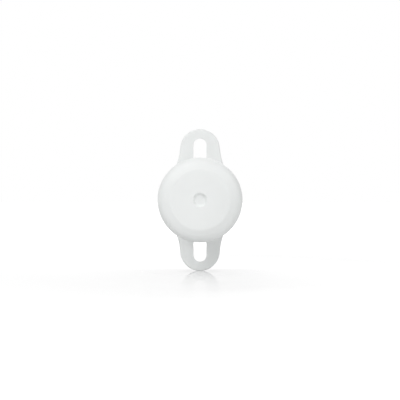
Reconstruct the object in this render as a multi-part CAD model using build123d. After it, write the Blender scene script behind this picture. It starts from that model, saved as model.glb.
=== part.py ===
"""Recessed entry sensor: a white barrel that hides in a hole drilled in a door frame.

A flange with two slotted ears holds the barrel to the frame. A sealed cover closes its mouth, and
the cover carries a tray with the circuit board, the reed switch and the cell, which draws out of
the barrel as one core.

Lengths are millimetres. The barrel lies along Y. The flange seats on the frame at Y = 0, the barrel
runs from there towards -Y, and a depth is a distance that way. The ears stand along Z.
"""
from build123d import *
import os
from math import asin, cos, degrees, pi, radians, sin, sqrt

# Cell: half the length of a usual AA, with a button at its front end
cell_diameter = 14.5
cell_length = 25.2
cell_button_diameter = 5.0
cell_button_height = 1.0
cell_edge_round = 0.6
wrap_thickness = 0.15
wrap_lip = 1.3

# Tray that carries the board and the cell
cell_gap = 0.1
tray_wall = 0.75
tray_clearance = 0.2
front_wall = 1.4
middle_wall = 1.2
rear_wall = 1.05
rear_chamfer = 0.7
board_rim_height = 0.6
clasp_height = 4.4
clasp_length = 4.0
clasp_inset = 3.6
ledge_width = 0.9
ledge_thickness = 1.0
lip_length = 2.0
lip_thickness = 0.5
lip_reach = 0.4
lip_inset = 2.6

# Barrel, flange and ears
barrel_wall = 1.2
end_wall = 1.6
end_bevel_width = 2.8
end_bevel_drop = 1.0
end_bevel_ease = 1.2
end_round = 2.4
bore_end_round = 1.0
rear_gap = 0.35
dimple_radius = 1.55
dimple_floor_radius = 1.05
dimple_depth = 0.6
dimple_round = 0.2
plate_thickness = 2.0
seat_margin = 1.7
plate_edge_round = 0.4
slot_width = 3.8
slot_length = 7.0
slot_web = 1.65
slot_sink = 1.1
ear_rim = 2.75
ear_end_radius = 5.8
ear_taper_angle = 7.5
ear_flare_radius = 16.0
guide_rib_width = 1.2
guide_rib_gap = 0.25
guide_rib_start = 7.0

# Cover, its seal, its screws and the light pipe
cover_rim_width = 1.75
cover_gap = 0.15
cover_head = 1.2
cover_crown = 0.6
cover_edge_round = 0.3
cover_floor = 1.4
plug_length = 4.2
plug_gap = 0.15
plug_wall = 2.15
notch_width = 3.6
notch_reach = 0.8
notch_depth = 0.9
seal_cord = 1.0
seal_gap = 0.02
seal_depth = 2.1
groove_slack = 0.3
screw_angle = 34.0
screw_radius = 0.7
screw_gap = 0.03
screw_bite = 3.2
screw_head_radius = 1.4
screw_head_height = 0.9
screw_socket_radius = 0.5
boss_radius = 1.7
boss_inset = 0.4
pipe_radius = 1.0
pipe_gap = 0.05
pipe_collar_radius = 1.75
pipe_collar = 0.8
pipe_led_gap = 0.2

# Circuit board
board_thickness = 1.0
board_top = -1.1
board_side_gap = 0.14
board_rear_margin = 1.55
board_front_gap = 0.6
board_rear_gap = 0.5
board_corner = 0.6
pin_gap = 0.08

# Reed switch
reed_edge_inset = 1.9
reed_glass_radius = 1.0
reed_glass_wall = 0.25
reed_glass_length = 12.0
reed_seal_length = 1.4
reed_seal_land = 0.1
reed_standoff = 0.4
reed_lead_radius = 0.25
reed_lead_run = 1.2
reed_lead_bend = 0.6
reed_lead_inside = 0.5
reed_front_inset = 1.0
reed_pin_below = 0.5
blade_width = 0.9
blade_thickness = 0.14
blade_gap = 0.16
blade_overlap = 1.2
blade_root_gap = 0.04

# Antenna coil
coil_edge_inset = 3.3
coil_radius = 2.0
coil_wire = 0.6
coil_turns = 8
coil_pitch = 1.3
coil_front_inset = 3.2
coil_standoff = 0.25
coil_pin_below = 0.5

# Chips and small parts on the board
chip_side = 5.0
chip_height = 0.85
chip_offset = -1.3
chip_mark_radius = 0.35
chip_mark_depth = 0.1
crystal_width = 3.2
crystal_length = 2.5
crystal_base = 0.4
crystal_lid = 0.35
crystal_lid_inset = 0.2
regulator_width = 1.4
regulator_length = 2.9
regulator_height = 1.0
regulator_leg_width = 0.4
regulator_leg_pitch = 0.95
regulator_leg_reach = 0.45
regulator_leg_thickness = 0.15
chip_part_width = 0.6
chip_part_length = 1.1
chip_part_height = 0.5
chip_part_pitch = 1.4
chip_parts_in_row = 4
part_gap = 0.5
led_width = 2.0
led_length = 0.7
led_height = 1.8
led_lens_radius = 0.5
led_inset = 0.7

# Learn switch, pressed from above
switch_width = 4.2
switch_length = 3.4
switch_base_height = 1.5
switch_plate = 0.2
button_radius = 0.85
button_flange_radius = 1.25
button_flange = 0.45
button_proud = 0.7
button_travel = 0.25
button_gap = 0.05

# Tamper switch, pressed by the wall of the bore
tamper_width = 3.0
tamper_length = 3.6
tamper_height = 1.8
tamper_wall = 0.4
tamper_coil_gap = 1.0
plunger_radius = 0.5
plunger_flange_radius = 0.7
plunger_flange = 0.6
plunger_release = 0.4
plunger_travel = 0.2
plunger_gap = 0.05
plunger_bore_gap = 0.08
tamper_window_gap = 0.4

# Cell contacts
contact_sheet = 0.25
contact_crown = 0.45
contact_crown_radius = 2.2
positive_side = 7.0
positive_leg_width = 2.0
positive_leg_offset = -3.6
positive_leg_length = 2.5
negative_side = 8.6
strip_width = 2.4
strip_gap = 0.12
strip_channel_gap = 0.03
strip_leg_inset = 0.9
strip_leg_above = 0.4
spring_length = 1.95
spring_wire = 0.5
spring_wide_radius = 3.9
spring_narrow_radius = 1.7
spring_turns = 2.5

# Radii that follow from the cell outwards
cell_radius = cell_diameter / 2
tray_inner_radius = cell_radius + cell_gap
tray_radius = tray_inner_radius + tray_wall
bore_radius = tray_radius + tray_clearance
barrel_radius = bore_radius + barrel_wall
flange_radius = barrel_radius + seat_margin
cover_recess_radius = flange_radius - cover_rim_width
cover_radius = cover_recess_radius - cover_gap
plug_radius = bore_radius - plug_gap
seal_radius = bore_radius - seal_gap - seal_cord / 2
groove_floor_radius = seal_radius - seal_cord / 2 - seal_gap
guide_rib_tip = cell_radius + guide_rib_gap
screw_ring = plug_radius - boss_inset - boss_radius

# Heights and widths that follow from the board's place in the tray
board_bottom = board_top - board_thickness
board_edge = sqrt(tray_inner_radius ** 2 - board_bottom ** 2) - board_side_gap
reed_x = reed_edge_inset - board_edge
reed_z = board_top + reed_standoff + reed_glass_radius
coil_x = board_edge - coil_edge_inset
coil_z = board_top + coil_standoff + coil_wire / 2 + coil_radius
switch_top = board_top + switch_base_height + switch_plate
button_flange_top = switch_top - switch_plate - button_gap
button_flange_bottom = button_flange_top - button_flange
regulator_x = chip_offset + switch_width / 2 + part_gap + regulator_leg_reach + regulator_width / 2
tamper_z = board_top + tamper_height / 2

# Depths that follow from the cover inwards
front_wall_end = plug_length + front_wall
board_start = front_wall_end + board_front_gap
led_front = board_start + led_inset
front_row = led_front + led_length + part_gap + chip_part_length / 2
chip_middle = front_row + chip_part_length / 2 + part_gap + chip_side / 2
crystal_middle = chip_middle + chip_side / 2 + part_gap + crystal_length / 2
rear_row = crystal_middle + crystal_length / 2 + part_gap + chip_part_length / 2
switch_middle = rear_row + chip_part_length / 2 + part_gap + switch_length / 2
coil_start = board_start + coil_front_inset
coil_end = coil_start + coil_pitch * (coil_turns + 0.5)
tamper_middle = coil_end + coil_wire + tamper_coil_gap + tamper_length / 2
board_end = tamper_middle + tamper_length / 2 + board_rear_margin
reed_glass_start = board_start + reed_front_inset + reed_lead_run
reed_glass_end = reed_glass_start + reed_glass_length
strip_leg = board_end - strip_leg_inset - contact_sheet
middle_wall_start = board_end + board_rear_gap
middle_wall_end = middle_wall_start + middle_wall
cell_start = middle_wall_end + contact_sheet + contact_crown
cell_end = cell_start + cell_length
negative_start = cell_end + spring_length
rear_wall_start = negative_start + contact_sheet
tray_end = rear_wall_start + rear_wall
bore_end = tray_end + rear_gap
barrel_length = bore_end + end_wall

# Places that follow from the ears and the cell
strip_bottom = -cell_radius - strip_gap - contact_sheet
slot_centre = barrel_radius + slot_web + slot_length / 2
ear_tip = slot_centre + slot_length / 2 + ear_rim
ear_end_centre = ear_tip - ear_end_radius
wire_sides = 8
tiny = 0.01
beyond = 1.0


def at_depth(depth):
    """Plane across the barrel at a depth, facing into the frame, with its Y along the ears."""
    return Plane.XZ.offset(depth)


def round_bar(radius, start, end, x=0.0, z=0.0):
    """Round bar along the barrel's axis between two depths."""
    return extrude(at_depth(start) * Pos(x, z) * Circle(radius), end - start)


def block(x_low, x_high, start, end, z_low, z_high):
    """Square block between two widths, two depths and two heights."""
    width = x_high - x_low
    height = z_high - z_low
    middle = Pos((x_low + x_high) / 2, (z_low + z_high) / 2)
    return extrude(at_depth(start) * middle * Rectangle(width, height), end - start)


def post(radius, x, depth, z_low, z_high):
    """Upright round post at a place on the board."""
    return extrude(Plane.XY.offset(z_low) * Pos(x, -depth) * Circle(radius), z_high - z_low)


def rim_edges(shape, depth, radius):
    """Round edges of one radius that lie at a depth."""
    found = shape.edges().filter_by(GeomType.CIRCLE)
    return [e for e in found if abs(e.radius - radius) < tiny and abs(e.center().Y + depth) < tiny]


def screw_places():
    """The two places of the cover's screws, to the right and to the left of the middle."""
    angle = radians(screw_angle)
    return [(side * screw_ring * cos(angle), screw_ring * sin(angle)) for side in (1, -1)]


def plate_outline():
    """Flange circle with a tapered round-ended ear above and below, flared where they meet."""
    slant = radians(ear_taper_angle)
    touch_x = ear_end_radius * cos(slant)
    touch_z = ear_end_centre + ear_end_radius * sin(slant)
    foot_x = touch_x + touch_z * sin(slant) / cos(slant)
    corners = [(foot_x, 0), (touch_x, touch_z), (-touch_x, touch_z), (-foot_x, 0)]
    ear = Polygon(*corners, align=None) + Pos(0, ear_end_centre) * Circle(ear_end_radius)
    outline = Circle(flange_radius) + ear + mirror(ear, Plane.XZ)
    corner_points = [v for v in outline.vertices() if abs(Vector(v).length - flange_radius) < tiny]
    return fillet(corner_points, ear_flare_radius)


def mounting_plate():
    """Flange and ears with their soft edges and the sunk slots for the screws."""
    plate = extrude(at_depth(-plate_thickness) * plate_outline(), plate_thickness)
    faces = plate.faces().sort_by(Axis.Y)
    plate = fillet(faces[0].outer_wire().edges() + faces[-1].outer_wire().edges(), plate_edge_round)
    upright_slot = SlotOverall(slot_length, slot_width, 90)
    for side in (1, -1):
        slot = at_depth(-plate_thickness) * Pos(0, side * slot_centre) * upright_slot
        plate -= extrude(slot, plate_thickness)
        mouth = plate.faces().sort_by(Axis.Y)[-1].inner_wires()
        plate = chamfer([e for w in mouth for e in w.edges() if side * e.center().Z > 0], slot_sink)
    return plate


def barrel_housing():
    """One moulding: closed barrel with a bevelled and rounded end, flange and ears."""
    flat_radius = barrel_radius - end_bevel_width
    bevel_foot = barrel_length - end_bevel_drop
    dimple_floor = barrel_length - dimple_depth
    outline = Polyline((0, tiny), (barrel_radius, tiny), (barrel_radius, -bevel_foot),
                       (flat_radius, -barrel_length), (dimple_radius, -barrel_length),
                       (dimple_floor_radius, -dimple_floor), (0, -dimple_floor), close=True)
    barrel = revolve(make_face(outline), Axis.Y)
    barrel = fillet(rim_edges(barrel, bevel_foot, barrel_radius), end_round)
    barrel = fillet(rim_edges(barrel, barrel_length, flat_radius), end_bevel_ease)
    dimple_rims = rim_edges(barrel, barrel_length, dimple_radius)
    dimple_rims += rim_edges(barrel, dimple_floor, dimple_floor_radius)
    barrel = fillet(dimple_rims, dimple_round)
    bore = round_bar(bore_radius, -plate_thickness - beyond, bore_end)
    bore = fillet(rim_edges(bore, bore_end, bore_radius), bore_end_round)
    recess = round_bar(cover_recess_radius, -plate_thickness - beyond, cover_head - plate_thickness)
    housing = mounting_plate() + barrel - bore - recess
    notch_x = cover_recess_radius + notch_reach
    housing -= block(-notch_x, notch_x, -plate_thickness - beyond, notch_depth - plate_thickness,
                     -notch_width / 2, notch_width / 2)
    half_rib = guide_rib_width / 2
    rib = block(-half_rib, half_rib, guide_rib_start, bore_end + tiny, guide_rib_tip,
                bore_radius + barrel_wall / 2)
    return housing + rib


def cover_envelope():
    """Outside of the cover: crowned head and plug, with no openings."""
    head_low = plate_thickness - cover_head
    ball_radius = (cover_radius ** 2 + cover_crown ** 2) / (2 * cover_crown)
    crown_angle = degrees(asin(cover_radius / ball_radius))
    ball_centre = plate_thickness + cover_crown - ball_radius
    crown = CenterArc((0, ball_centre), ball_radius, 90 - crown_angle, crown_angle)
    outline = Polyline(crown @ 1, (0, -plug_length), (plug_radius, -plug_length),
                       (plug_radius, head_low), (cover_radius, head_low), crown @ 0)
    shape = revolve(make_face(outline + crown), Axis.Y)
    return fillet(rim_edges(shape, -plate_thickness, cover_radius), cover_edge_round)


def front_cover():
    """Crowned cover with a hollow plug, a seal groove, screw bosses and a light pipe hole."""
    ceiling = cover_floor - plate_thickness
    cover = cover_envelope() - round_bar(plug_radius - plug_wall, ceiling, plug_length + beyond)
    hole_end = plug_length - screw_bite - screw_gap
    for x, z in screw_places():
        cover += round_bar(boss_radius, ceiling, plug_length, x, z)
        cover -= round_bar(screw_radius + screw_gap, hole_end, plug_length + beyond, x, z)
    half_groove = (seal_cord + groove_slack) / 2
    groove = round_bar(bore_radius, seal_depth - half_groove, seal_depth + half_groove)
    groove -= round_bar(groove_floor_radius, seal_depth - half_groove, seal_depth + half_groove)
    return cover - groove - round_bar(pipe_radius + pipe_gap, -plate_thickness - beyond, plug_length)


def cover_seal():
    """Rubber ring in the groove of the plug."""
    return Location(at_depth(seal_depth)) * Torus(seal_radius, seal_cord / 2)


def cover_screws():
    """Two small screws that hold the tray to the bosses of the cover."""
    screws = []
    head_end = front_wall_end + screw_head_height
    for x, z in screw_places():
        shank = round_bar(screw_radius, plug_length - screw_bite, front_wall_end + tiny, x, z)
        head = round_bar(screw_head_radius, front_wall_end, head_end, x, z)
        head = fillet(rim_edges(head, head_end, screw_head_radius), screw_head_height / 2)
        socket = round_bar(screw_socket_radius, head_end - screw_head_height / 2, head_end + beyond, x, z)
        screws.append((shank + head - socket).solid())
    return Compound(children=screws)


def light_pipe():
    """Clear rod from the lamp on the board to the crown of the cover, held by a collar."""
    ceiling = cover_floor - plate_thickness
    inner_end = led_front - led_lens_radius - pipe_led_gap
    outer = round_bar(pipe_radius, -plate_thickness - cover_crown, ceiling + tiny) & cover_envelope()
    inner = round_bar(pipe_radius, ceiling, inner_end)
    return outer + inner + round_bar(pipe_collar_radius, ceiling, ceiling + pipe_collar)


def trough(start, end, rim):
    """Round-bottomed channel of the tray between two depths, open above its rim."""
    shell = round_bar(tray_radius, start, end) - round_bar(tray_inner_radius, start, end)
    return shell & block(-tray_radius, tray_radius, start, end, -tray_radius, rim)


def tray_cross_wall(start, end):
    """Full wall across the tray with a notch that rides on the guide rib of the bore."""
    half_notch = guide_rib_width / 2 + guide_rib_gap
    wall = round_bar(tray_radius, start, end)
    return wall - block(-half_notch, half_notch, start, end, guide_rib_tip - guide_rib_gap, bore_radius)


def board_rests():
    """Ledges under the long edges of the board and small lips that hold it down."""
    inside = round_bar((tray_inner_radius + tray_radius) / 2, plug_length, middle_wall_end)
    rests = []
    for side in (1, -1):
        inner, outer = sorted((side * (board_edge - ledge_width), side * tray_radius))
        ledge = block(inner, outer, front_wall_end - tiny, middle_wall_start + tiny,
                      board_bottom - ledge_thickness, board_bottom)
        rests.append(ledge & inside)
        inner, outer = sorted((side * (board_edge - lip_reach), side * tray_radius))
        for lip_middle in (board_start + lip_inset, (board_start + board_end) / 2):
            lip = block(inner, outer, lip_middle - lip_length / 2, lip_middle + lip_length / 2,
                        board_top, board_top + lip_thickness)
            rests.append(lip & inside)
    return rests


def carrier_tray():
    """Moulded tray: front wall, board bay, middle wall, cell bay with clasps, rear wall."""
    tray = round_bar(tray_radius, plug_length, front_wall_end)
    tray += trough(front_wall_end - tiny, middle_wall_start + tiny, board_rim_height)
    tray += trough(middle_wall_end - tiny, rear_wall_start + tiny, 0)
    tray += tray_cross_wall(middle_wall_start, middle_wall_end)
    rear = tray_cross_wall(rear_wall_start, tray_end)
    tray += rear - rear_edge_cutter()
    for middle in (cell_start + clasp_inset, cell_end - clasp_inset):
        tray += trough(middle - clasp_length / 2, middle + clasp_length / 2, clasp_height)
    for rest in board_rests():
        tray += rest
    tray -= round_bar(pipe_radius + tray_clearance, plug_length - beyond, front_wall_end + beyond)
    for x, z in screw_places():
        tray -= round_bar(screw_radius + screw_gap, plug_length - beyond, front_wall_end + beyond, x, z)
    half_strip = strip_width / 2 + strip_gap
    tray -= block(-half_strip, half_strip, strip_leg - strip_gap, rear_wall_start,
                  strip_bottom - strip_channel_gap, -cell_radius + contact_sheet)
    leg_low = positive_leg_offset - positive_leg_width / 2 - pin_gap
    leg_high = positive_leg_offset + positive_leg_width / 2 + pin_gap
    tray -= block(leg_low, leg_high, middle_wall_start - beyond, middle_wall_end + beyond,
                  board_top - pin_gap, board_top + contact_sheet + pin_gap)
    half_window = plunger_radius + tamper_window_gap
    tray -= block(board_edge, bore_radius, tamper_middle - half_window, tamper_middle + half_window,
                  tamper_z - half_window, board_rim_height + beyond)
    return tray


def rear_edge_cutter():
    """Ring that bevels the rear edge of the tray, clear of the rounded end of the bore."""
    profile = Polyline((tray_radius + beyond, -tray_end), (tray_radius - rear_chamfer, -tray_end),
                       (tray_radius, -tray_end + rear_chamfer),
                       (tray_radius + beyond, -tray_end + rear_chamfer), close=True)
    return revolve(make_face(profile), Axis.Y)


def circuit_board():
    """Board with the holes for the pins of the reed, the antenna and the strip."""
    outline = RectangleRounded(2 * board_edge, board_end - board_start, board_corner)
    middle = Pos(0, -(board_start + board_end) / 2)
    board = extrude(Plane.XY.offset(board_bottom) * middle * outline, board_thickness)
    for depth in reed_pin_depths():
        board -= post(reed_lead_radius + pin_gap, reed_x, depth, board_bottom, board_top)
    for x, depth in coil_pins():
        board -= post(coil_wire / 2 + 2 * pin_gap, x, depth, board_bottom, board_top)
    half_leg = strip_width / 2 + pin_gap
    return board - block(-half_leg, half_leg, strip_leg - pin_gap, strip_leg + contact_sheet + pin_gap,
                         board_bottom, board_top)


def reed_pin_depths():
    """Depths of the two holes that take the leads of the reed switch."""
    return reed_glass_start - reed_lead_run, reed_glass_end + reed_lead_run


def reed_glass():
    """Sealed glass tube with rounded ends, hollow between its seals, bored for the leads."""
    glass = round_bar(reed_glass_radius, reed_glass_start, reed_glass_end, reed_x, reed_z)
    for depth in (reed_glass_start, reed_glass_end):
        rim = rim_edges(glass, depth, reed_glass_radius)
        glass = fillet(rim, reed_glass_radius - reed_lead_radius - reed_seal_land)
    hollow = round_bar(reed_glass_radius - reed_glass_wall, reed_glass_start + reed_seal_length,
                       reed_glass_end - reed_seal_length, reed_x, reed_z)
    lead_bore = round_bar(reed_lead_radius, reed_glass_start - beyond, reed_glass_end + beyond,
                          reed_x, reed_z)
    return glass - hollow - lead_bore


def reed_lead(pin_depth, glass_depth, inward):
    """Bent wire from a hole in the board through a seal of the glass."""
    low = board_bottom - reed_pin_below
    end_depth = glass_depth + inward * (reed_seal_length + reed_lead_inside)
    points = [(reed_x, -pin_depth, low), (reed_x, -pin_depth, reed_z), (reed_x, -end_depth, reed_z)]
    path = FilletPolyline(*points, radius=reed_lead_bend)
    section = Plane(points[0], z_dir=(0, 0, 1)) * Circle(reed_lead_radius)
    return sweep(section, path=path)


def reed_leads():
    """The two leads of the reed switch."""
    front_pin, rear_pin = reed_pin_depths()
    leads = [reed_lead(front_pin, reed_glass_start, 1), reed_lead(rear_pin, reed_glass_end, -1)]
    return Compound(children=[lead.solid() for lead in leads])


def reed_blade(side):
    """Flat blade from one seal to the middle of the glass; side is 1 for the front one."""
    inset = reed_seal_length + reed_lead_inside + blade_root_gap
    root = reed_glass_start + inset if side > 0 else reed_glass_end - inset
    tip = (reed_glass_start + reed_glass_end + side * blade_overlap) / 2
    low_depth, high_depth = sorted((root, tip))
    near = side * blade_gap / 2
    low, high = sorted((near, near + side * blade_thickness))
    return block(reed_x - blade_width / 2, reed_x + blade_width / 2, low_depth, high_depth,
                 reed_z + low, reed_z + high)


def tangent_path(points, first_direction):
    """Smooth chain of arcs through the points, each leaving along the end of the one before."""
    direction = first_direction
    arcs = []
    for start, end in zip(points, points[1:]):
        arc = Edge.make_tangent_arc(start, direction, end)
        direction = arc.tangent_at(1)
        arcs.append(arc)
    return arcs


def coil_point(turn):
    """Point on the line of the antenna coil after some turns."""
    angle = pi - 2 * pi * turn
    return Vector(coil_x + coil_radius * cos(angle), -(coil_start + coil_pitch * turn),
                  coil_z + coil_radius * sin(angle))


def coil_leg(turn, height):
    """Point at a height on the straight leg below an end of the coil."""
    end_point = coil_point(turn)
    slope = coil_pitch / (2 * pi * coil_radius)
    outward = 1 if turn else -1
    return Vector(end_point.X, end_point.Y - outward * slope * (coil_z - height), height)


def coil_pins():
    """Places where the two legs of the coil pass the middle of the board."""
    crossings = [coil_leg(turn, (board_top + board_bottom) / 2) for turn in (0, coil_turns + 0.5)]
    return [(crossing.X, -crossing.Y) for crossing in crossings]


def antenna_coil():
    """Wire coil on two straight legs that stand in the board."""
    quarter_turns = int(4 * (coil_turns + 0.5))
    points = [coil_point(quarter / 4) for quarter in range(quarter_turns + 1)]
    low = board_bottom - coil_pin_below
    first_foot = coil_leg(0, low)
    last_foot = coil_leg(coil_turns + 0.5, low)
    upward = (points[0] - first_foot).normalized()
    path = Wire([Edge.make_line(first_foot, points[0]), *tangent_path(points, upward),
                 Edge.make_line(points[-1], last_foot)])
    section = Plane(first_foot, z_dir=upward) * RegularPolygon(coil_wire / 2, wire_sides)
    print("antenna coil gap between turns", round(coil_pitch - coil_wire, 2))
    return sweep(section, path=path)


def spring_point(turn):
    """Point on the line of the contact spring, from its wide end at the rear contact."""
    share = turn / spring_turns
    radius = spring_wide_radius + (spring_narrow_radius - spring_wide_radius) * share
    first_depth = negative_start - spring_wire / 2
    last_depth = cell_end + spring_wire / 2
    depth = first_depth + (last_depth - first_depth) * share
    angle = 2 * pi * turn
    return Vector(radius * cos(angle), -depth, radius * sin(angle))


def battery_spring():
    """Conical spring that presses the cell forwards."""
    steps = int(4 * spring_turns)
    points = [spring_point(step / 4) for step in range(steps + 1)]
    ahead = spring_point(tiny) - spring_point(0)
    arcs = tangent_path(points, ahead.normalized())
    section = Plane(points[0], z_dir=ahead) * RegularPolygon(spring_wire / 2, wire_sides)
    nearest = min((a - b).length for a, b in zip(points, points[4:]))
    print("contact spring gap between turns", round(nearest - spring_wire, 2))
    return sweep(section, path=Wire(arcs))


def radio_chip():
    """Flat square chip with a round corner mark."""
    half = chip_side / 2
    top = board_top + chip_height
    chip = block(chip_offset - half, chip_offset + half, chip_middle - half, chip_middle + half,
                 board_top, top)
    mark_inset = half - 2 * chip_mark_radius
    return chip - post(chip_mark_radius, chip_offset - mark_inset, chip_middle - mark_inset,
                       top - chip_mark_depth, top)


def crystal():
    """Ceramic base with a raised metal lid."""
    base_top = board_top + crystal_base
    half_width = crystal_width / 2
    half_length = crystal_length / 2
    base = block(chip_offset - half_width, chip_offset + half_width, crystal_middle - half_length,
                 crystal_middle + half_length, board_top, base_top)
    half_width -= crystal_lid_inset
    half_length -= crystal_lid_inset
    lid = block(chip_offset - half_width, chip_offset + half_width, crystal_middle - half_length,
                crystal_middle + half_length, base_top, base_top + crystal_lid)
    return base + lid


def voltage_regulator():
    """Small moulded chip with three legs on one side and two on the other."""
    half_width = regulator_width / 2
    half_length = regulator_length / 2
    lift = regulator_leg_thickness
    body = block(regulator_x - half_width, regulator_x + half_width, tamper_middle - half_length,
                 tamper_middle + half_length, board_top + lift, board_top + regulator_height)
    half_leg = regulator_leg_width / 2
    reach = half_width + regulator_leg_reach
    for side, steps in ((-1, (-1, 0, 1)), (1, (-1, 1))):
        for step in steps:
            depth = tamper_middle + step * regulator_leg_pitch
            near, far = sorted((regulator_x, regulator_x + side * reach))
            body += block(near, far, depth - half_leg, depth + half_leg, board_top, board_top + lift)
    return body


def chip_parts():
    """Two rows of small resistors and capacitors."""
    parts = []
    half_width = chip_part_width / 2
    half_length = chip_part_length / 2
    row_middle = (chip_parts_in_row - 1) / 2
    for depth in (front_row, rear_row):
        for column in range(chip_parts_in_row):
            x = chip_offset + (column - row_middle) * chip_part_pitch
            part = block(x - half_width, x + half_width, depth - half_length, depth + half_length,
                         board_top, board_top + chip_part_height)
            parts.append(part.solid())
    return Compound(children=parts)


def status_led():
    """Side-facing lamp at the front edge of the board with a half-round lens."""
    half_width = led_width / 2
    top = board_top + led_height
    body = block(-half_width, half_width, led_front, led_front + led_length, board_top, top)
    lens = Pos(0, -led_front, 0) * Sphere(led_lens_radius)
    ahead = block(-half_width, half_width, led_front - led_lens_radius, led_front + tiny, board_top, top)
    return body + (lens & ahead)


def over_switch(side_length, side_width, z_low, z_high):
    """Square block centred on the learn switch."""
    return block(chip_offset - side_width / 2, chip_offset + side_width / 2,
                 switch_middle - side_length / 2, switch_middle + side_length / 2, z_low, z_high)


def learn_switch_base():
    """Plastic base of the learn switch with the well that the button sinks into."""
    base = over_switch(switch_length, switch_width, board_top, board_top + switch_base_height)
    well_floor = button_flange_bottom - button_travel - button_gap
    return base - post(button_flange_radius + button_gap, chip_offset, switch_middle, well_floor,
                       switch_top)


def learn_switch_plate():
    """Metal plate over the base, with the hole that the button stands in."""
    low = board_top + switch_base_height
    plate = over_switch(switch_length, switch_width, low, switch_top)
    return plate - post(button_radius + button_gap, chip_offset, switch_middle, low, switch_top)


def learn_button():
    """Round button with a flange that stays under the plate."""
    flange = post(button_flange_radius, chip_offset, switch_middle, button_flange_bottom,
                  button_flange_top)
    stem = post(button_radius, chip_offset, switch_middle, button_flange_top - tiny,
                switch_top + button_proud)
    top_edge = stem.faces().sort_by(Axis.Z)[-1].edges()
    return flange + fillet(top_edge, button_radius / 4)


def side_bar(radius, x_low, x_high):
    """Round bar along X at the place of the tamper plunger."""
    start = Plane((x_low, -tamper_middle, tamper_z), x_dir=(0, 1, 0), z_dir=(1, 0, 0))
    return extrude(start * Circle(radius), x_high - x_low)


def tamper_switch_base():
    """Housing of the tamper switch with the well that the plunger sinks into."""
    half_length = tamper_length / 2
    base = block(board_edge - tamper_width, board_edge, tamper_middle - half_length,
                 tamper_middle + half_length, board_top, board_top + tamper_height)
    well_end = board_edge - tamper_wall
    well_start = well_end - plunger_release - plunger_flange - plunger_travel - plunger_gap
    base -= side_bar(plunger_flange_radius + plunger_gap, well_start, well_end)
    return base - side_bar(plunger_radius + plunger_gap, well_end - tiny, board_edge)


def tamper_plunger():
    """Pin with a flange and a round tip that rides on the wall of the bore."""
    flange_high = board_edge - tamper_wall - plunger_release
    flange = side_bar(plunger_flange_radius, flange_high - plunger_flange, flange_high)
    tip = bore_radius - plunger_bore_gap
    pin = side_bar(plunger_radius, flange_high - tiny, tip)
    return flange + fillet(pin.faces().sort_by(Axis.X)[-1].edges(), plunger_radius / 2)


def battery_cell():
    """Steel can with a button at its front end."""
    can_radius = cell_radius - wrap_thickness
    shoulder = cell_start + cell_button_height
    can = round_bar(can_radius, shoulder + wrap_thickness, cell_end - wrap_thickness)
    edges = rim_edges(can, shoulder + wrap_thickness, can_radius)
    edges += rim_edges(can, cell_end - wrap_thickness, can_radius)
    can = fillet(edges, cell_edge_round)
    bare_radius = can_radius - wrap_lip
    can += round_bar(bare_radius, shoulder + tiny, cell_end)
    return can + round_bar(cell_button_diameter / 2, cell_start, shoulder + 2 * tiny)


def battery_wrap():
    """Shrunk sleeve round the can that folds over both of its edges."""
    shoulder = cell_start + cell_button_height
    sleeve = round_bar(cell_radius, shoulder, cell_end)
    sleeve = fillet(rim_edges(sleeve, shoulder, cell_radius) + rim_edges(sleeve, cell_end, cell_radius),
                    cell_edge_round + wrap_thickness)
    can_radius = cell_radius - wrap_thickness
    inside = round_bar(can_radius, shoulder + wrap_thickness, cell_end - wrap_thickness)
    edges = rim_edges(inside, shoulder + wrap_thickness, can_radius)
    edges += rim_edges(inside, cell_end - wrap_thickness, can_radius)
    inside = fillet(edges, cell_edge_round)
    return sleeve - inside - round_bar(can_radius - wrap_lip, shoulder - beyond, cell_end + beyond)


def positive_contact():
    """Sheet on the middle wall with a round crown for the button and a leg onto the board."""
    half = positive_side / 2
    sheet = block(-half, half, middle_wall_end, middle_wall_end + contact_sheet, -half, half)
    crown = Pos(0, -(middle_wall_end + contact_sheet), 0) * dome(contact_crown_radius, contact_crown)
    leg_low = positive_leg_offset - positive_leg_width / 2
    leg_high = positive_leg_offset + positive_leg_width / 2
    leg = block(leg_low, leg_high, middle_wall_start - positive_leg_length, middle_wall_end + contact_sheet,
                board_top, board_top + contact_sheet)
    tab = block(leg_low, leg_high, middle_wall_end, middle_wall_end + contact_sheet, board_top, half)
    return sheet + crown + leg + tab


def dome(radius, height):
    """Low round cap on the plane Y = 0 that rises towards -Y."""
    ball_radius = (radius ** 2 + height ** 2) / (2 * height)
    ball = Pos(0, ball_radius - height, 0) * Sphere(ball_radius)
    return ball & extrude(at_depth(-tiny) * Circle(radius), height + 2 * tiny)


def negative_contact():
    """Sheet on the rear wall with a strip that runs below the cell and up through the board."""
    half = negative_side / 2
    half_strip = strip_width / 2
    low = strip_bottom
    sheet = block(-half, half, negative_start, rear_wall_start, -half, half)
    tail = block(-half_strip, half_strip, negative_start, rear_wall_start, low, 0)
    strip = block(-half_strip, half_strip, strip_leg, rear_wall_start, low, low + contact_sheet)
    riser = block(-half_strip, half_strip, strip_leg, strip_leg + contact_sheet, low,
                  board_top + strip_leg_above)
    return sheet + tail + strip + riser


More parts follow.
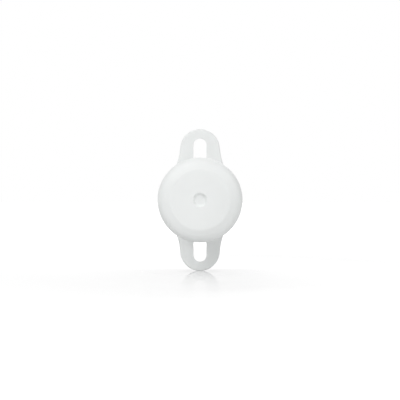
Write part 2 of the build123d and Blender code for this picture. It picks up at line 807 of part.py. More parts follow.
nodes = {
    "barrel_housing": barrel_housing,
    "front_cover": front_cover,
    "cover_seal": cover_seal,
    "cover_screws": cover_screws,
    "light_pipe": light_pipe,
    "carrier_tray": carrier_tray,
    "circuit_board": circuit_board,
    "reed_glass": reed_glass,
    "reed_leads": reed_leads,
    "reed_blade_front": lambda: reed_blade(1),
    "reed_blade_rear": lambda: reed_blade(-1),
    "antenna_coil": antenna_coil,
    "radio_chip": radio_chip,
    "crystal": crystal,
    "voltage_regulator": voltage_regulator,
    "chip_parts": chip_parts,
    "status_led": status_led,
    "learn_switch_base": learn_switch_base,
    "learn_switch_plate": learn_switch_plate,
    "learn_button": learn_button,
    "tamper_switch_base": tamper_switch_base,
    "tamper_plunger": tamper_plunger,
    "battery_cell": battery_cell,
    "battery_wrap": battery_wrap,
    "battery_spring": battery_spring,
    "positive_contact": positive_contact,
    "negative_contact": negative_contact,
}

os.makedirs("parts", exist_ok=True)
for name, build in nodes.items():
    export_step(build(), f"parts/{name}.step")
print("barrel", round(2 * barrel_radius, 2), "across and", round(barrel_length, 2), "long; ears",
      round(2 * ear_tip, 2), "from tip to tip")
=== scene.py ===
"""Recessed door sensor: a white barrel on a pale floor, with its core dressed for close views.

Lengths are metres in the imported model's frame. The barrel lies along -Y, the ears stand along Z,
and the board inside lies flat with its parts on its +Z side. Places on the board are written in
millimetres as (across, along), where along is the depth behind the flange's seating face. The sizes
that a finish is given, such as its grain, are in millimetres too.
"""
from math import cos, pi, radians, sin, tau

import bmesh
import bpy
from mathutils import Matrix, Vector


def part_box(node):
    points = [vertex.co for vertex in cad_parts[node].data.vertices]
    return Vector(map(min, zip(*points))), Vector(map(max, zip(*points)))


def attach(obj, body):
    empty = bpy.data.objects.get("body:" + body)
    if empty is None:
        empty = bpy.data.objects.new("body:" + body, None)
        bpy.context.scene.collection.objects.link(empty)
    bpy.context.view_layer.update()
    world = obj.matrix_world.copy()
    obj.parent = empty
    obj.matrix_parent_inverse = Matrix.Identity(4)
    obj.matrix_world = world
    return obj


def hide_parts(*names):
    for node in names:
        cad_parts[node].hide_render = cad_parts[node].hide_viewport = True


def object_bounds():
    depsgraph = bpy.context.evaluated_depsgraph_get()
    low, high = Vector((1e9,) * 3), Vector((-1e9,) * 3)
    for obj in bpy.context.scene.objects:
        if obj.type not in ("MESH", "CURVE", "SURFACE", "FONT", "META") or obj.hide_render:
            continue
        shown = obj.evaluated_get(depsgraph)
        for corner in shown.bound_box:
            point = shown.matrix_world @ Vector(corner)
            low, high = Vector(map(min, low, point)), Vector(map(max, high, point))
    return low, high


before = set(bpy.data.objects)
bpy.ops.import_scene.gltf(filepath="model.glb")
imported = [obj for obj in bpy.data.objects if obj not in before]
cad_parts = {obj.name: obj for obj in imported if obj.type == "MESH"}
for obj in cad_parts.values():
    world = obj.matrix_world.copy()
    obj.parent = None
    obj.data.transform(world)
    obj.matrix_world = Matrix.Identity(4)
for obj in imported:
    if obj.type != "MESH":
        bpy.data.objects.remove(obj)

cad_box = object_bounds()
mm = 0.001
scene = bpy.context.scene
socket_kinds = {float: "NodeSocketFloat", int: "NodeSocketInt"}


def fill(tree, socket, value):
    """Joins a worked-out value to a socket, or sets a plain one on it."""
    if isinstance(value, bpy.types.NodeSocket):
        tree.links.new(value, socket)
    elif socket.type == "RGBA":
        socket.default_value = (*value, 1.0)
    else:
        socket.default_value = value


def place(tree, kind, inputs=None, **settings):
    """Adds a node, sets its properties, fills its inputs and returns its outputs."""
    node = tree.nodes.new(kind)
    for name, value in settings.items():
        setattr(node, name, value)
    for key, value in (inputs or {}).items():
        fill(tree, node.inputs[key], value)
    return node.outputs


def work_out(tree, operation, *values):
    """Result of one Math node."""
    return place(tree, "ShaderNodeMath", dict(enumerate(values)), operation=operation)[0]


def times(value, factor):
    """Product of two values."""
    return work_out(value.id_data, "MULTIPLY", value, factor)


def times_plus(value, factor, base):
    """Product of two values, added to a base."""
    return work_out(value.id_data, "MULTIPLY_ADD", value, factor, base)


def opposite(share):
    """What a share leaves of one."""
    return work_out(share.id_data, "SUBTRACT", 1.0, share)


def gap(value, middle):
    """Distance of a value from a middle."""
    off_middle = work_out(value.id_data, "SUBTRACT", value, middle)
    return work_out(value.id_data, "ABSOLUTE", off_middle)


def mix(share, first, second):
    """Value between two others."""
    return place(share.id_data, "ShaderNodeMix", {0: share, 2: first, 3: second})[0]


def tint(share, first, second):
    """Colour between two others."""
    inputs = {0: share, 6: first, 7: second}
    return place(share.id_data, "ShaderNodeMix", inputs, data_type="RGBA")[2]


def step_up(value, start, end):
    """Smooth rise from 0 to 1 as a value passes from start to end."""
    inputs = {"Value": value, "From Min": start, "From Max": end}
    return place(value.id_data, "ShaderNodeMapRange", inputs, interpolation_type="SMOOTHSTEP")[0]


def spot_parts(tree):
    """X, Y and Z of the shaded spot."""
    return place(tree, "ShaderNodeSeparateXYZ", {0: place(tree, "ShaderNodeTexCoord")["Object"]})


def noise(tree, size, detail):
    """Soft noise whose blotches are about one size across."""
    inputs = {"Vector": place(tree, "ShaderNodeTexCoord")["Object"],
              "Scale": work_out(tree, "DIVIDE", 1.0, size), "Detail": detail}
    return place(tree, "ShaderNodeTexNoise", inputs)[0]


def new_tree(name, kind="ShaderNodeTree", **inputs):
    """Node group whose inputs each have a plain value, or else the kind of their socket."""
    tree = bpy.data.node_groups.new(name, kind)
    for label, value in inputs.items():
        socket_type = value if isinstance(value, str) else socket_kinds[type(value)]
        label = label.replace("_", " ")
        socket = tree.interface.new_socket(label, in_out="INPUT", socket_type=socket_type)
        if value != socket_type:
            socket.default_value = value
    return tree, tree.nodes.new("NodeGroupInput").outputs


def give(tree, **results):
    """Ends a node group with its named results."""
    for name, value in results.items():
        tree.interface.new_socket(name, in_out="OUTPUT", socket_type=value.bl_idname)
    ends = tree.nodes.new("NodeGroupOutput").inputs
    for name, value in results.items():
        tree.links.new(value, ends[name])
    return tree


# Effects that several finishes share

def make_relief():
    """Height of a moulded face: fine grain on a slow wave."""
    tree, given = new_tree("Moulded relief", Grain=0.2 * mm, Wave=6 * mm, Wave_height=3.0)
    grain = noise(tree, given["Grain"], 3.0)
    wave = noise(tree, given["Wave"], 1.0)
    return give(tree, Height=times_plus(wave, given["Wave height"], grain))


def make_drift():
    """Colour that drifts between two near tones."""
    tone = "NodeSocketColor"
    tree, given = new_tree("Drifting tone", Light=tone, Dark=tone, Size=8 * mm)
    share = step_up(noise(tree, given["Size"], 4.0), 0.3, 0.7)
    return give(tree, Tone=tint(share, given["Dark"], given["Light"]), Share=share)


def make_wear():
    """Mask of the edges that handling rubs, broken up by noise."""
    tree, given = new_tree("Rubbed edges", Width=0.3 * mm, Breakup=0.8 * mm)
    rounded = place(tree, "ShaderNodeBevel", {"Radius": given["Width"]}, samples=4)[0]
    facing = place(tree, "ShaderNodeNewGeometry")["Normal"]
    match = place(tree, "ShaderNodeVectorMath", {0: rounded, 1: facing}, operation="DOT_PRODUCT")
    turned = step_up(opposite(match["Value"]), 0.01, 0.2)
    patches = step_up(noise(tree, given["Breakup"], 3.0), 0.35, 0.6)
    return give(tree, Mask=times(turned, patches))


def make_hairlines():
    """Mask of fine scratches that run two ways."""
    tree, given = new_tree("Hairlines", Length=3 * mm, Fineness=0.04 * mm)
    spot = place(tree, "ShaderNodeTexCoord")["Object"]
    along = work_out(tree, "DIVIDE", 1.0, given["Length"])
    across = work_out(tree, "DIVIDE", 1.0, given["Fineness"])
    stretch = place(tree, "ShaderNodeCombineXYZ", {0: across, 1: along, 2: across})[0]
    lines = []
    for angle in (0.3, -0.5):
        line = place(tree, "ShaderNodeVectorRotate", {"Vector": spot, "Angle": angle},
                     rotation_type="Z_AXIS")[0]
        line = place(tree, "ShaderNodeVectorMath", {0: line, 1: stretch}, operation="MULTIPLY")[0]
        line = place(tree, "ShaderNodeTexNoise", {"Vector": line, "Scale": 1.0, "Detail": 1.0})[0]
        lines.append(step_up(line, 0.6, 0.75))
    return give(tree, Mask=work_out(tree, "MAXIMUM", *lines))


def make_dust():
    """Mask of fine dust that gathers in corners and on faces that look up."""
    tree, given = new_tree("Settled dust", Reach=1.5 * mm, Speck=0.15 * mm)
    open_air = place(tree, "ShaderNodeAmbientOcclusion", {"Distance": given["Reach"]}, samples=4)
    facing = place(tree, "ShaderNodeTexCoord")["Normal"]
    upward = place(tree, "ShaderNodeSeparateXYZ", {0: facing})["Z"]
    lying = work_out(tree, "MAXIMUM", upward, 0.0)
    cover = times_plus(lying, 0.35, opposite(open_air["AO"]))
    speck = step_up(noise(tree, given["Speck"], 4.0), 0.5, 0.72)
    return give(tree, Mask=times(cover, speck))


relief_effect = make_relief()
drift_effect = make_drift()
wear_effect = make_wear()
hairline_effect = make_hairlines()
dust_effect = make_dust()


def effect(tree, group, **values):
    """Outputs of a shared effect that is placed in a material with its own values."""
    inputs = {name.replace("_", " "): value for name, value in values.items()}
    return place(tree, "ShaderNodeGroup", inputs, node_tree=group)


def drifting(tree, light, dark, size):
    """Tone that drifts between two colours, and the share of the light one."""
    outputs = effect(tree, drift_effect, Light=light, Dark=dark, Size=size * mm)
    return outputs["Tone"], outputs["Share"]


def scratches(tree, length):
    """Mask of fine scratches of a length."""
    return effect(tree, hairline_effect, Length=length * mm)["Mask"]


def dusty(tree, amount, **values):
    """Mask of an amount of dust."""
    return times(effect(tree, dust_effect, **values)["Mask"], amount)


def bump(height, depth):
    """Normal of a surface whose height has a real depth."""
    inputs = {"Height": height, "Distance": depth * mm, "Strength": 1.0}
    return place(height.id_data, "ShaderNodeBump", inputs)[0]


def grainy(tree, grain, wave=6, wave_height=3.0):
    """Height of a moulded face with fine grain on a slow wave."""
    sizes = {"Grain": grain * mm, "Wave": wave * mm, "Wave_height": wave_height}
    return effect(tree, relief_effect, **sizes)["Height"]


def feed(material, **values):
    """Gives a material's shader plain or worked-out values, and returns the material."""
    tree = material.node_tree
    for name, value in values.items():
        fill(tree, tree.nodes["Principled BSDF"].inputs[name.replace("_", " ")], value)
    return material


def new_finish(name, **plain):
    """New material, with what is the same all over set on its shader, and its tree."""
    material = bpy.data.materials.new(name)
    material.use_nodes = True
    return feed(material, **plain), material.node_tree


def plastic(name, light, dark, gloss, grain, depth, edge, wave_height=1.0, dust=0.0, **plain):
    """Moulded plastic: drifting tone, uneven gloss, fine grain, rubbed edges and some dust."""
    finish, tree = new_finish(name, **plain)
    tone, share = drifting(tree, light, dark, 9)
    wear = effect(tree, wear_effect, Width=0.25 * mm)["Mask"]
    tone = tint(times(wear, 0.6), tone, edge)
    low, high = gloss
    rubbed_gloss, dust_gloss, dust_grey = low * 0.8, 0.95, (0.5, 0.48, 0.45)
    rough = mix(times(wear, 0.5), mix(share, high, low), rubbed_gloss)
    if dust:
        fluff = dusty(tree, dust)
        tone = tint(fluff, tone, dust_grey)
        rough = mix(fluff, rough, dust_gloss)
    return feed(finish, Base_Color=tone, Roughness=rough,
                Normal=bump(grainy(tree, grain, wave_height=wave_height), depth))


def metal(name, light, dark, gloss, hairline, depth=0.004, scuff=0.18):
    """Bare or plated metal: drifting tone, fine scratches and brighter rubbed edges."""
    finish, tree = new_finish(name, Metallic=1.0)
    tone, share = drifting(tree, light, dark, 2.5)
    scratch = scratches(tree, hairline)
    wear = effect(tree, wear_effect, Width=0.12 * mm, Breakup=0.4 * mm)["Mask"]
    low, high = gloss
    return feed(finish, Base_Color=tint(times(wear, 0.5), tone, light),
                Roughness=times_plus(scratch, scuff, mix(share, high, low)),
                Normal=bump(opposite(scratch), depth))


def drawn_wire(name, light, dark, gloss, **plain):
    """Round wire: drifting tone, soft dents from winding and a few brighter nicks."""
    finish, tree = new_finish(name, Metallic=1.0, **plain)
    tone, share = drifting(tree, light, dark, 1.8)
    nick = step_up(noise(tree, 0.35 * mm, 3.0), 0.68, 0.72)
    low, high = gloss
    return feed(finish, Base_Color=tint(nick, tone, light),
                Roughness=mix(nick, mix(share, high, low), high + 0.1),
                Normal=bump(grainy(tree, 0.2, 1.2), 0.004))


def solder():
    """Set solder: soft mirror with a faint wrinkled skin and dull spots of flux."""
    finish, tree = new_finish("Solder", Metallic=1.0)
    tone, share = drifting(tree, (0.74, 0.73, 0.71), (0.6, 0.59, 0.57), 0.5)
    flux = step_up(noise(tree, 0.3 * mm, 3.0), 0.55, 0.68)
    flux_brown = (0.42, 0.36, 0.25)
    return feed(finish, Base_Color=tint(times(flux, 0.5), tone, flux_brown),
                Roughness=mix(flux, mix(share, 0.4, 0.3), 0.55),
                Normal=bump(grainy(tree, 0.08, 0.5), 0.006))


def white_moulding(name):
    """Satin white of the barrel and its cover."""
    return plastic(name, (0.84, 0.857, 0.851), (0.81, 0.827, 0.821), (0.38, 0.48), 0.14, 0.004,
                   (0.87, 0.88, 0.875), 6.0, Specular_IOR_Level=0.32)


def solder_mask():
    """Green mask on the board's faces, with bare glass cloth at its cut edges."""
    finish, tree = new_finish("Solder mask", Coat_Roughness=0.12, IOR=1.5)
    green, share = drifting(tree, (0.018, 0.165, 0.062), (0.012, 0.125, 0.05), 3)
    where = place(tree, "ShaderNodeTexCoord")
    upward = place(tree, "ShaderNodeSeparateXYZ", {0: where["Normal"]})["Z"]
    flat = step_up(gap(upward, 0), 0.4, 0.7)
    layer, thread = 0.18 * mm, 0.5 * mm
    layers = work_out(tree, "SINE", times(spot_parts(tree)["Z"], tau / layer))
    cloth = tint(step_up(layers, -1.0, 1.0), (0.42, 0.36, 0.18), (0.56, 0.5, 0.3))
    tone = tint(flat, cloth, green)
    weave = place(tree, "ShaderNodeTexMagic", {"Vector": where["Object"], "Scale": 1 / thread})[1]
    return feed(finish, Base_Color=tint(dusty(tree, 0.25), tone, (0.4, 0.4, 0.36)),
                Roughness=mix(flat, 0.8, mix(share, 0.38, 0.27)), Coat_Weight=times(flat, 0.6),
                Normal=bump(times_plus(weave, 0.5, grainy(tree, 0.08, 1.6)), 0.003))


def clear_pipe():
    """Clear moulded rod with a faint tint and tiny ripples."""
    finish, tree = new_finish("Clear rod", Transmission_Weight=0.7, IOR=1.58, Coat_Weight=0.2)
    tone, share = drifting(tree, (0.97, 0.985, 0.99), (0.9, 0.94, 0.95), 1.5)
    return feed(finish, Base_Color=tone, Roughness=mix(share, 0.09, 0.04),
                Normal=bump(grainy(tree, 0.3, 2), 0.002))


def reed_tube_glass():
    """Pale green glass, a little wavy, darker where the flame has sealed its ends."""
    finish, tree = new_finish("Sealed glass", Transmission_Weight=1.0, IOR=1.51)
    low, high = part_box("reed_glass")
    half = (high.y - low.y) / 2
    from_middle = gap(spot_parts(tree)["Y"], (low.y + high.y) / 2)
    sealed = step_up(from_middle, half - 2.2 * mm, half)
    pale = drifting(tree, (0.8, 0.95, 0.86), (0.7, 0.9, 0.78), 2)[0]
    return feed(finish, Base_Color=tint(sealed, pale, (0.4, 0.66, 0.5)),
                Roughness=mix(sealed, 0.02, 0.1), Normal=bump(grainy(tree, 0.5, 2.5), 0.006))


def seal_rubber():
    """Matt black rubber with a thin mould line round its middle and some dust."""
    finish, tree = new_finish("Seal rubber", Specular_IOR_Level=0.35, Sheen_Weight=0.15)
    low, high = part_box("cover_seal")
    tone, share = drifting(tree, (0.03, 0.03, 0.032), (0.018, 0.018, 0.02), 1.2)
    fluff = dusty(tree, 0.5, Speck=0.1 * mm)
    off_line = gap(spot_parts(tree)["Y"], (low.y + high.y) / 2)
    line = opposite(step_up(off_line, 0.015 * mm, 0.05 * mm))
    return feed(finish, Base_Color=tint(fluff, tone, (0.3, 0.29, 0.27)),
                Roughness=mix(share, 0.75, 0.55),
                Normal=bump(times_plus(line, 3.0, grainy(tree, 0.06)), 0.008))


def cell_print(tree, around, along, low, high):
    """Mask of a plus, a minus and two thin rings, all as plain printed bars."""
    long_half, thin_half, ring_half, all_round = 1.4 * mm, 0.27 * mm, 0.2 * mm, 1.0
    sign_inset, ring_inset = 5.2 * mm, 2.6 * mm
    plus, minus = high.y - sign_inset, low.y + sign_inset
    bars = [(plus, long_half, thin_half), (plus, thin_half, long_half),
            (minus, long_half, thin_half),
            (high.y - ring_inset, all_round, ring_half), (low.y + ring_inset, all_round, ring_half)]
    mask = 0.0
    for middle, half_width, half_length in bars:
        wide = work_out(tree, "LESS_THAN", gap(around, 0), half_width)
        long = work_out(tree, "LESS_THAN", gap(along, middle), half_length)
        mask = work_out(tree, "MAXIMUM", mask, times(wide, long))
    worn = step_up(noise(tree, 0.25 * mm, 3.0), 0.36, 0.4)
    return times(mask, worn)


def film_folds(tree, angle, around, along, low, high):
    """Height of the film: puckers at its folded ends, a lap along its seam and a slow wave."""
    half = (high.y - low.y) / 2
    from_middle = gap(along, (low.y + high.y) / 2)
    near_end = step_up(from_middle, half - 1.6 * mm, half - 0.2 * mm)
    pucker_count, pucker_height, lap_height = 34.0, 3.0, 6.0
    puckers = times(work_out(tree, "SINE", times(angle, pucker_count)), near_end)
    lap = step_up(around, -5.1 * mm, -4.95 * mm)
    lapped = times_plus(lap, lap_height, grainy(tree, 0.4, 5))
    return times_plus(puckers, pucker_height, lapped)


def cell_film():
    """Shrunk film of the cell: glossy and printed, with a seam and puckers where it folds over."""
    finish, tree = new_finish("Shrunk film", Coat_Roughness=0.08, IOR=1.5)
    low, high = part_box("battery_wrap")
    spot = spot_parts(tree)
    tone, share = drifting(tree, (0.045, 0.12, 0.26), (0.035, 0.098, 0.22), 5)
    wear = effect(tree, wear_effect, Width=0.3 * mm)["Mask"]
    tone = tint(times(wear, 0.35), tone, (0.25, 0.33, 0.45))
    angle = work_out(tree, "ARCTAN2", spot["Z"], spot["X"])
    around = times(work_out(tree, "SUBTRACT", angle, pi / 2), high.x)
    ink = cell_print(tree, around, spot["Y"], low, high)
    folds = film_folds(tree, angle, around, spot["Y"], low, high)
    return feed(finish, Base_Color=tint(ink, tone, (0.74, 0.75, 0.74)),
                Roughness=mix(ink, mix(share, 0.36, 0.24), 0.45),
                Coat_Weight=mix(share, 0.25, 0.45), Normal=bump(folds, 0.012))


def cell_can():
    """Plated can, with a dark plastic washer round the button."""
    finish, tree = new_finish("Plated can")
    spot = spot_parts(tree)
    squares = times_plus(spot["X"], spot["X"], times(spot["Z"], spot["Z"]))
    outward = work_out(tree, "SQRT", squares)
    ring = work_out(tree, "LESS_THAN", gap(outward, 3.1 * mm), 0.55 * mm)
    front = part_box("battery_cell")[1].y - 1.25 * mm
    washer = times(ring, work_out(tree, "GREATER_THAN", spot["Y"], front))
    tone, share = drifting(tree, (0.72, 0.71, 0.68), (0.62, 0.61, 0.58), 2)
    tool_mark = 0.09 * mm
    turned = work_out(tree, "SINE", times(outward, tau / tool_mark))
    height = times_plus(turned, 0.3, scratches(tree, 2))
    return feed(finish, Base_Color=tint(washer, tone, (0.06, 0.06, 0.065)),
                Metallic=opposite(washer), Roughness=mix(washer, mix(share, 0.34, 0.22), 0.6),
                Normal=bump(height, 0.002))


def lamp_body():
    """White lamp body with plated ends and a clear yellowish lens."""
    finish, tree = new_finish("Lamp body", IOR=1.5)
    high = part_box("status_led")[1]
    spot = spot_parts(tree)
    lens = step_up(spot["Y"], high.y - 0.52 * mm, high.y - 0.46 * mm)
    off_middle = gap(spot["X"], 0)
    plated = step_up(off_middle, high.x - 0.28 * mm, high.x - 0.24 * mm)
    tone, share = drifting(tree, (0.85, 0.85, 0.8), (0.75, 0.75, 0.7), 0.6)
    tone = tint(lens, tone, (0.8, 0.7, 0.25))
    return feed(finish, Base_Color=tint(plated, tone, (0.8, 0.66, 0.38)), Metallic=plated,
                Roughness=mix(lens, mix(share, 0.45, 0.3), 0.08),
                Normal=bump(grainy(tree, 0.05), 0.002))


def crystal_can():
    """Ceramic base with a plated lid seamed on top."""
    finish, tree = new_finish("Crystal can")
    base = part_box("crystal")[0].z
    lid = step_up(spot_parts(tree)["Z"], base + 0.38 * mm, base + 0.41 * mm)
    ceramic = drifting(tree, (0.16, 0.13, 0.1), (0.11, 0.09, 0.07), 0.5)[0]
    plate, share = drifting(tree, (0.8, 0.76, 0.66), (0.68, 0.64, 0.55), 1.2)
    return feed(finish, Base_Color=tint(lid, ceramic, plate), Metallic=lid,
                Roughness=mix(lid, 0.6, mix(share, 0.36, 0.24)),
                Normal=bump(scratches(tree, 1.5), 0.003))


def blade_metal():
    """Rolled spring strip, with a gold-plated contact patch at its free end."""
    finish, tree = new_finish("Reed blade", Metallic=1.0)
    low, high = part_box("reed_blade_rear")[0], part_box("reed_blade_front")[1]
    from_patch = gap(spot_parts(tree)["Y"], (low.y + high.y) / 2)
    bare = step_up(from_patch, 1.3 * mm, 1.5 * mm)
    steel = drifting(tree, (0.62, 0.6, 0.56), (0.5, 0.48, 0.45), 0.8)[0]
    patch_gold = (0.83, 0.62, 0.28)
    return feed(finish, Base_Color=tint(bare, patch_gold, steel), Roughness=mix(bare, 0.22, 0.32),
                Normal=bump(scratches(tree, 1.2), 0.002))


# Plastics: light and dark tone, gloss from and to, grain size and depth, and tone of rubbed edges
tray_black = plastic(
    "Tray black", (0.052, 0.053, 0.057), (0.036, 0.037, 0.04), (0.42, 0.58), 0.11, 0.012,
    (0.13, 0.13, 0.135), 2.0, dust=0.3)
chip_black = plastic(
    "Chip resin", (0.034, 0.034, 0.037), (0.024, 0.024, 0.027), (0.48, 0.62), 0.05, 0.006,
    (0.08, 0.08, 0.085), dust=0.2)
switch_black = plastic(
    "Switch black", (0.03, 0.03, 0.032), (0.02, 0.02, 0.022), (0.35, 0.5), 0.07, 0.006,
    (0.09, 0.09, 0.09), dust=0.2)
button_grey = plastic(
    "Button", (0.07, 0.07, 0.074), (0.05, 0.05, 0.053), (0.3, 0.42), 0.08, 0.005,
    (0.14, 0.14, 0.14))
plunger_white = plastic(
    "Plunger", (0.8, 0.79, 0.75), (0.72, 0.71, 0.67), (0.25, 0.35), 0.08, 0.003, (0.84, 0.83, 0.8))
print_white = plastic(
    "Board print", (0.78, 0.78, 0.75), (0.66, 0.66, 0.63), (0.55, 0.7), 0.04, 0.004,
    (0.8, 0.8, 0.78))
track_green = plastic(
    "Masked copper", (0.05, 0.3, 0.12), (0.036, 0.24, 0.095), (0.25, 0.36), 0.08, 0.003,
    (0.08, 0.34, 0.15), Coat_Weight=0.5, Coat_Roughness=0.12)
ceramic_tan = plastic(
    "Capacitor ceramic", (0.4, 0.27, 0.16), (0.31, 0.2, 0.115), (0.4, 0.55), 0.05, 0.004,
    (0.47, 0.34, 0.22))
resistor_black = plastic(
    "Resistor glaze", (0.03, 0.032, 0.036), (0.02, 0.021, 0.025), (0.2, 0.32), 0.05, 0.003,
    (0.08, 0.08, 0.085))

# Metals: light and dark tone, gloss from and to, and length of scratches
tin = metal("Bright tin", (0.78, 0.77, 0.74), (0.66, 0.65, 0.62), (0.2, 0.38), 0.8, 0.006)
gold = metal("Thin gold", (0.9, 0.68, 0.32), (0.78, 0.57, 0.26), (0.22, 0.34), 1)
screw_zinc = metal("Plated screw", (0.66, 0.67, 0.69), (0.54, 0.55, 0.58), (0.24, 0.36), 0.7)
plate_steel = metal("Switch plate", (0.7, 0.7, 0.7), (0.6, 0.6, 0.6), (0.26, 0.36), 4, 0.001, 0.07)
nickel = (0.74, 0.72, 0.67), (0.63, 0.61, 0.56)
contact_nickel = metal("Nickel contact", *nickel, (0.2, 0.32), 7, 0.0006, 0.06)
spring_nickel = drawn_wire("Nickel wire", *nickel, (0.2, 0.3))
coil_copper = drawn_wire("Enamelled copper", (0.82, 0.4, 0.2), (0.7, 0.32, 0.155), (0.2, 0.28),
                         Coat_Weight=0.6, Coat_Roughness=0.08)
solder_grey = solder()
blade_steel = blade_metal()
cad_finishes = {
    "barrel_housing": white_moulding("Barrel white"), "front_cover": white_moulding("Cover white"),
    "cover_seal": seal_rubber(), "light_pipe": clear_pipe(), "carrier_tray": tray_black,
    "circuit_board": solder_mask(), "reed_glass": reed_tube_glass(), "reed_leads": tin,
    "reed_blade_front": blade_steel, "reed_blade_rear": blade_steel, "radio_chip": chip_black,
    "crystal": crystal_can(), "status_led": lamp_body(), "learn_switch_base": switch_black,
    "learn_switch_plate": plate_steel, "learn_button": button_grey,
    "tamper_switch_base": switch_black, "tamper_plunger": plunger_white,
    "battery_cell": cell_can(), "battery_wrap": cell_film(), "positive_contact": contact_nickel,
    "negative_contact": contact_nickel,
}
for node_name, node_finish in cad_finishes.items():
    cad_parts[node_name].data.materials.clear()
    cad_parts[node_name].data.materials.append(node_finish)


# Trees that make what repeats or follows a line

def new_maker(name, base, **inputs):
    """Geometry tree that works on a base in one finish."""
    first = {base: "NodeSocketGeometry", "Finish": "NodeSocketMaterial"}
    return new_tree(name, "GeometryNodeTree", **first, **inputs)


def finish_tree(tree, given, geometry):
    """Ends a tree: real geometry in one finish."""
    whole = place(tree, "GeometryNodeRealizeInstances", {0: geometry})[0]
    inputs = {"Geometry": whole, "Material": given["Finish"]}
    return give(tree, Whole=place(tree, "GeometryNodeSetMaterial", inputs)[0])


def make_wire_tree():
    """Round wire along each line of edges, with closed ends."""
    tree, given = new_maker("Round wire", "Line", Radius=0.3 * mm, Sides=16)
    line = place(tree, "GeometryNodeMeshToCurve", {"Mesh": given["Line"]})[0]
    inputs = {"Resolution": given["Sides"], "Radius": given["Radius"]}
    ring = place(tree, "GeometryNodeCurvePrimitiveCircle", inputs)[0]
    inputs = {"Curve": line, "Profile Curve": ring, "Fill Caps": True}
    return finish_tree(tree, given, place(tree, "GeometryNodeCurveToMesh", inputs)[0])


def make_strip_tree():
    """Flat strip along each line of edges, with its width level and its corners eased."""
    tree, given = new_maker("Flat strip", "Line", Width=0.2 * mm, Thickness=0.03 * mm,
                            Bend=0.1 * mm)
    line = place(tree, "GeometryNodeMeshToCurve", {"Mesh": given["Line"]})[0]
    inputs = {"Curve": line, "Count": 3, "Radius": given["Bend"], "Limit Radius": True}
    eased = place(tree, "GeometryNodeFilletCurve", inputs, mode="POLY")[0]
    level = place(tree, "GeometryNodeSetCurveNormal", {"Curve": eased}, mode="Z_UP")[0]
    inputs = {"Width": given["Width"], "Height": given["Thickness"]}
    section = place(tree, "GeometryNodeCurvePrimitiveQuadrilateral", inputs)[0]
    inputs = {"Curve": level, "Profile Curve": section, "Fill Caps": True}
    return finish_tree(tree, given, place(tree, "GeometryNodeCurveToMesh", inputs)[0])


def make_repeat_tree():
    """One shape set at each point, with the point's own turn and stretch."""
    tree, given = new_maker("Repeated shape", "Places", Shape="NodeSocketObject")
    pattern = place(tree, "GeometryNodeObjectInfo", {"Object": given["Shape"]})["Geometry"]
    inputs = {"Points": given["Places"], "Instance": pattern}
    for socket, name in (("Rotation", "turn"), ("Scale", "stretch")):
        inputs[socket] = place(tree, "GeometryNodeInputNamedAttribute", {"Name": name},
                               data_type="FLOAT_VECTOR")[0]
    return finish_tree(tree, given, place(tree, "GeometryNodeInstanceOnPoints", inputs)[0])


wire_tree = make_wire_tree()
strip_tree = make_strip_tree()
repeat_tree = make_repeat_tree()


def add_object(name, data):
    """New object in the scene."""
    item = bpy.data.objects.new(name, data)
    scene.collection.objects.link(item)
    return item


def evaluated(item):
    """Mesh of an object as its modifiers leave it."""
    depsgraph = bpy.context.evaluated_depsgraph_get()
    return bpy.data.meshes.new_from_object(item.evaluated_get(depsgraph))


def smooth(mesh):
    """Shades a mesh smooth, but for its real corners."""
    mesh.shade_smooth()
    mesh.set_sharp_from_angle(angle=radians(38))
    return mesh


def grow(tree, base, **values):
    """Runs a tree on a base mesh and returns the result as a plain smooth mesh."""
    source = add_object("base", base)
    modifier = source.modifiers.new("grow", "NODES")
    modifier.node_group = tree
    for item in tree.interface.items_tree:
        if item.name in values:
            modifier[item.identifier] = values[item.name]
    grown = evaluated(source)
    source.modifiers.remove(modifier)
    bpy.data.objects.remove(source)
    return smooth(grown)


def lines_mesh(lines):
    """Mesh of open lines, each a list of points joined by edges."""
    points, edges = [], []
    for line in lines:
        edges += [(len(points) + i, len(points) + i + 1) for i in range(len(line) - 1)]
        points += [tuple(point) for point in line]
    mesh = bpy.data.meshes.new("lines")
    mesh.from_pydata(points, edges, [])
    return mesh


def round_wire(line, radius, sides, finish):
    """Round wire along a line of points."""
    return grow(wire_tree, lines_mesh([line]), Radius=radius, Sides=sides, Finish=finish)


def flat_strips(lines, width, thickness, bend, finish):
    """Flat strips along lines of points."""
    return grow(strip_tree, lines_mesh(lines), Width=width, Thickness=thickness, Bend=bend,
                Finish=finish)


def add_piece(name, mesh, slot, body="core", stands_for=()):
    """Puts a finished mesh in the scene as a piece on a body."""
    mesh.name = name
    piece = add_object(name, mesh)
    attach(piece, body)
    if stands_for:
        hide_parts(*stands_for)


same = (1.0, 1.0, 1.0)


def upright(points, stretch=same):
    """Entries for copies that stand unturned at points."""
    return [(point, (0.0, 0.0, 0.0), stretch) for point in points]


def repeat(name, pattern, places, finish, slot, **more):
    """Sets copies of a pattern mesh at (place, turn, stretch) entries, as one piece."""
    base = bpy.data.meshes.new("places")
    base.from_pydata([tuple(entry[0]) for entry in places], [], [])
    for index, attribute in ((1, "turn"), (2, "stretch")):
        values = base.attributes.new(attribute, "FLOAT_VECTOR", "POINT")
        values.data.foreach_set("vector", [part for entry in places for part in entry[index]])
    holder = add_object("pattern", pattern)
    mesh = grow(repeat_tree, base, Shape=holder, Finish=finish)
    bpy.data.objects.remove(holder)
    add_piece(name, mesh, slot, **more)


def to_mesh(shape):
    """Plain mesh of a finished edit mesh, with its faces turned outwards."""
    bmesh.ops.recalc_face_normals(shape, faces=shape.faces)
    mesh = bpy.data.meshes.new("shape")
    shape.to_mesh(mesh)
    shape.free()
    return mesh


def ease_edges(shape, edge):
    """Rounds all edges of a shape."""
    bmesh.ops.bevel(shape, geom=shape.edges[:], offset=edge, segments=2, profile=0.7,
                    affect="EDGES")


